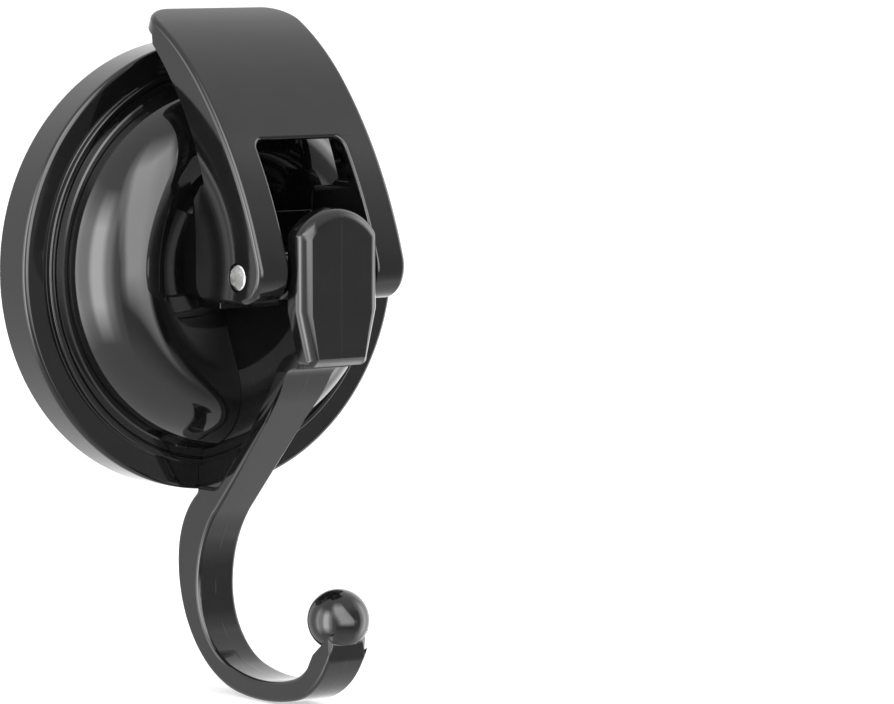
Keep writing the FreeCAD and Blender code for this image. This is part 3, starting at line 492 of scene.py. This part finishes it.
# From the axis on the wall side, round the lip and back to the axis in front:
# hollow depth = lift * (1 - (r / R)^2), back of the membrane = a smooth step from lip to boss.
def cupProfile(s):
    sealed = s["lipRadius"] - s["lipWide"]
    r = np.linspace(0, sealed, s["steps"])
    hollow = np.stack([r, s["lift"] * (1 - (r / sealed) ** 2)], 1)
    edge = s["lipEdge"]
    start = s["lipRadius"] - s["lipThick"]
    lip = np.concatenate([
        arc((s["lipRadius"] - edge, edge), edge, 180, 90, s["edgeArcStep"]),
        arc((start, 0.0), s["lipThick"], s["lipTurn"], 0, s["lipArcStep"]),
    ])
    start = start - s["lipShoulder"]
    share = np.linspace(0, 1, s["steps"])[1:]
    back = np.stack([start + (s["bossRadius"] + s["bossBreak"] - start) * share,
                     s["lipThick"] + (s["bossFoot"] - s["lipThick"]) * share ** 2 * (3 - 2 * share)], 1)
    edge = s["bossEdge"]
    corner = arc((s["bossRadius"] - edge, s["bossDepth"] - edge), edge, 90, 0, s["bossArcStep"])
    return np.concatenate([hollow, lip, back, [[s["bossRadius"], s["bossFoot"] + s["bossBreak"]]], corner,
                           [[0, s["bossDepth"]]]])


cupMesh = turned("suctionCup", cupProfile(cupSizes), cupSizes["around"], cupRubber)
cup = finished("suctionCup", cupMesh, "base", cupSizes["sharp"])
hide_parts("suction_cup")
print("cup turned")


# Floor, surround and lamps
paperSetup = {
    "height": -0.0803,  # metres, just under the J
    "aside": 4.0, "front": -3.0, "bend": 1.6, "radius": 0.9, "top": 3.5, "steps": 60,  # metres
    "colour": (0.86, 0.86, 0.86), "rough": 0.9,
    "glow": 0.5,  # how much whiter the camera sees the paper
}


# The paper runs flat, bends up behind the object along a quarter circle and stands.
def backdrop(s):
    run = np.linspace(0, 1, s["steps"]) * math.pi / 2
    back = s["bend"] + s["radius"]
    y = np.concatenate([[s["front"], s["bend"]], s["bend"] + s["radius"] * np.sin(run), [back]])
    z = np.concatenate([[0, 0], s["radius"] * (1 - np.cos(run)), [s["top"]]]) + s["height"]
    points = np.concatenate([np.stack([np.full_like(y, x), y, z], 1) for x in (-s["aside"], s["aside"])])
    n = len(y)
    mesh = bpy.data.meshes.new("floor")
    mesh.from_pydata(points.tolist(), [], [(i, i + n, i + n + 1, i + 1) for i in range(n - 1)])
    smooth(mesh)
    paper, tree, shader, _ = newMaterial("paper")
    shader.inputs["Base Color"].default_value = (*s["colour"], 1)
    shader.inputs["Roughness"].default_value = s["rough"]
    shader.inputs["Emission Color"].default_value = (1, 1, 1, 1)
    ray = tree.nodes.new("ShaderNodeLightPath")
    glow = spread(tree, ray.outputs["Is Camera Ray"], 0, s["glow"])
    tree.links.new(glow, shader.inputs["Emission Strength"])
    mesh.materials.append(paper)
    piece = placed("floor", mesh)
    piece.visible_glossy = False  # the gloss sees the room, not the edge of the paper


backdrop(paperSetup)

# Around: (degrees to the left of straight out, brightness).
# Up and down: the two heights (0 level, 1 overhead, -1 underfoot) between which a light fades.
studio = {
    "dull": 0.55,  # how bright the room lights the object
    "high": 1.1,  # brightness of the room overhead, as the gloss sees it
    "room": [(-180, 1.2), (-98, 1.8), (-78, 4.2), (-60, 2.4), (-49, 0.55), (-31, 0.5), (40, 0.6),
             (50, 1.2), (128, 1.4), (142, 1.02), (180, 1.2)],
    "roomTop": (0.4, 0.76),
    "sideBoxes": [(-180, 0), (54, 0), (66, 2.4), (78, 7.4), (88, 7.4), (99, 2.2), (110, 2.2), (120, 3.2),
                  (131, 0.3), (142, 0)],
    "sideTop": (0.34, 0.66),
    "frontBox": [(-180, 0), (-31, 0), (-21, 4.2), (0, 5.2), (22, 5.2), (36, 1.6), (46, 0)],
    "frontTop": (0.78, 0.97),
    "frontFoot": (-0.32, -0.06),
    "frontLean": 0.11,  # how far the front box leans to the left towards its top, in turns
}
world = bpy.data.worlds.new("studio")
bpy.context.scene.world = world
world.use_nodes = True
worldTree = world.node_tree
worldTree.nodes.clear()


def compute(operation, *values):
    node = worldTree.nodes.new("ShaderNodeMath")
    node.operation = operation
    for socket, value in zip(node.inputs, values):
        if isinstance(value, (int, float)):
            socket.default_value = value
        else:
            worldTree.links.new(value, socket)
    return node.outputs[0]


def fading(value, low, high):
    return spread(worldTree, value, 1, 0, low, high)


def rising(value, low, high):
    return spread(worldTree, value, 0, 1, low, high)


def around(where, stops):
    brightest = max(brightness for _, brightness in stops)
    shares = [(angle / 360 + 0.5, [brightness / brightest] * 3) for angle, brightness in stops]
    return compute("MULTIPLY", ramp(worldTree, where, shares, "EASE"), brightest)


direction = worldTree.nodes.new("ShaderNodeTexCoord").outputs["Generated"]
parts = worldTree.nodes.new("ShaderNodeSeparateXYZ")
worldTree.links.new(direction, parts.inputs[0])
across, inwards, height = parts.outputs
# left of straight out = atan2(-x, -y), as a share of a whole turn
turn = compute("ARCTAN2", compute("MULTIPLY", across, -1), compute("MULTIPLY", inwards, -1))
share = compute("ADD", compute("DIVIDE", turn, 2 * math.pi), 0.5)
lean = compute("MULTIPLY", compute("MAXIMUM", height, 0), studio["frontLean"])
fromLevel = compute("ABSOLUTE", height)

overhead = rising(fromLevel, *studio["roomTop"])
room = compute("ADD", compute("MULTIPLY", around(share, studio["room"]), compute("SUBTRACT", 1, overhead)),
               compute("MULTIPLY", overhead, studio["high"]))
sideBoxes = compute("MULTIPLY", around(share, studio["sideBoxes"]), fading(fromLevel, *studio["sideTop"]))
frontEnds = compute("MULTIPLY", fading(height, *studio["frontTop"]), rising(height, *studio["frontFoot"]))
frontBox = compute("MULTIPLY", around(compute("SUBTRACT", share, lean), studio["frontBox"]), frontEnds)
bright = compute("ADD", room, compute("ADD", sideBoxes, frontBox))

# The camera sees plain white, the gloss sees the room's lights, and all else gets dull even light.
ray = worldTree.nodes.new("ShaderNodeLightPath")
seen = worldTree.nodes.new("ShaderNodeBackground")
lit = worldTree.nodes.new("ShaderNodeBackground")
white = worldTree.nodes.new("ShaderNodeMix")
white.data_type = "FLOAT"
worldTree.links.new(ray.outputs["Is Camera Ray"], white.inputs[0])
worldTree.links.new(bright, white.inputs[2])
white.inputs[3].default_value = 1.0
worldTree.links.new(white.outputs[0], seen.inputs["Strength"])
seen.inputs["Color"].default_value = (1, 1, 1, 1)
lit.inputs["Color"].default_value = (1, 1, 1, 1)
lit.inputs["Strength"].default_value = studio["dull"]
chosen = worldTree.nodes.new("ShaderNodeMixShader")
either = compute("MAXIMUM", ray.outputs["Is Camera Ray"], ray.outputs["Is Glossy Ray"])
worldTree.links.new(either, chosen.inputs["Fac"])
worldTree.links.new(lit.outputs[0], chosen.inputs[1])
worldTree.links.new(seen.outputs[0], chosen.inputs[2])
worldOut = worldTree.nodes.new("ShaderNodeOutputWorld")
worldTree.links.new(chosen.outputs[0], worldOut.inputs["Surface"])

lampAim = Vector((0, -0.02, 0))
lamps = {  # place, and width and height, in metres; power in watts
    "leftBox": ((-1.3, -0.7, 0.5), (0.5, 1.1), 9.0),
    "rightBox": ((0.9, -1.2, 0.7), (0.5, 1.0), 6.0),
    "topBox": ((0.0, -0.3, 1.4), (0.9, 0.7), 8.0),
}
for name, (place, size, power) in lamps.items():
    lampData = bpy.data.lights.new(name, "AREA")
    lampData.shape = "RECTANGLE"
    lampData.size, lampData.size_y = size
    lampData.energy = power
    lamp = placed(name, lampData)
    turning = (lampAim - Vector(place)).to_track_quat("-Z", "Y").to_matrix().to_4x4()
    lamp.matrix_world = Matrix.Translation(Vector(place)) @ turning
    lamp.visible_glossy = False  # the gloss gets its soft boxes from the room
print("studio lit")

bpy.context.scene.view_settings.view_transform = "Standard"
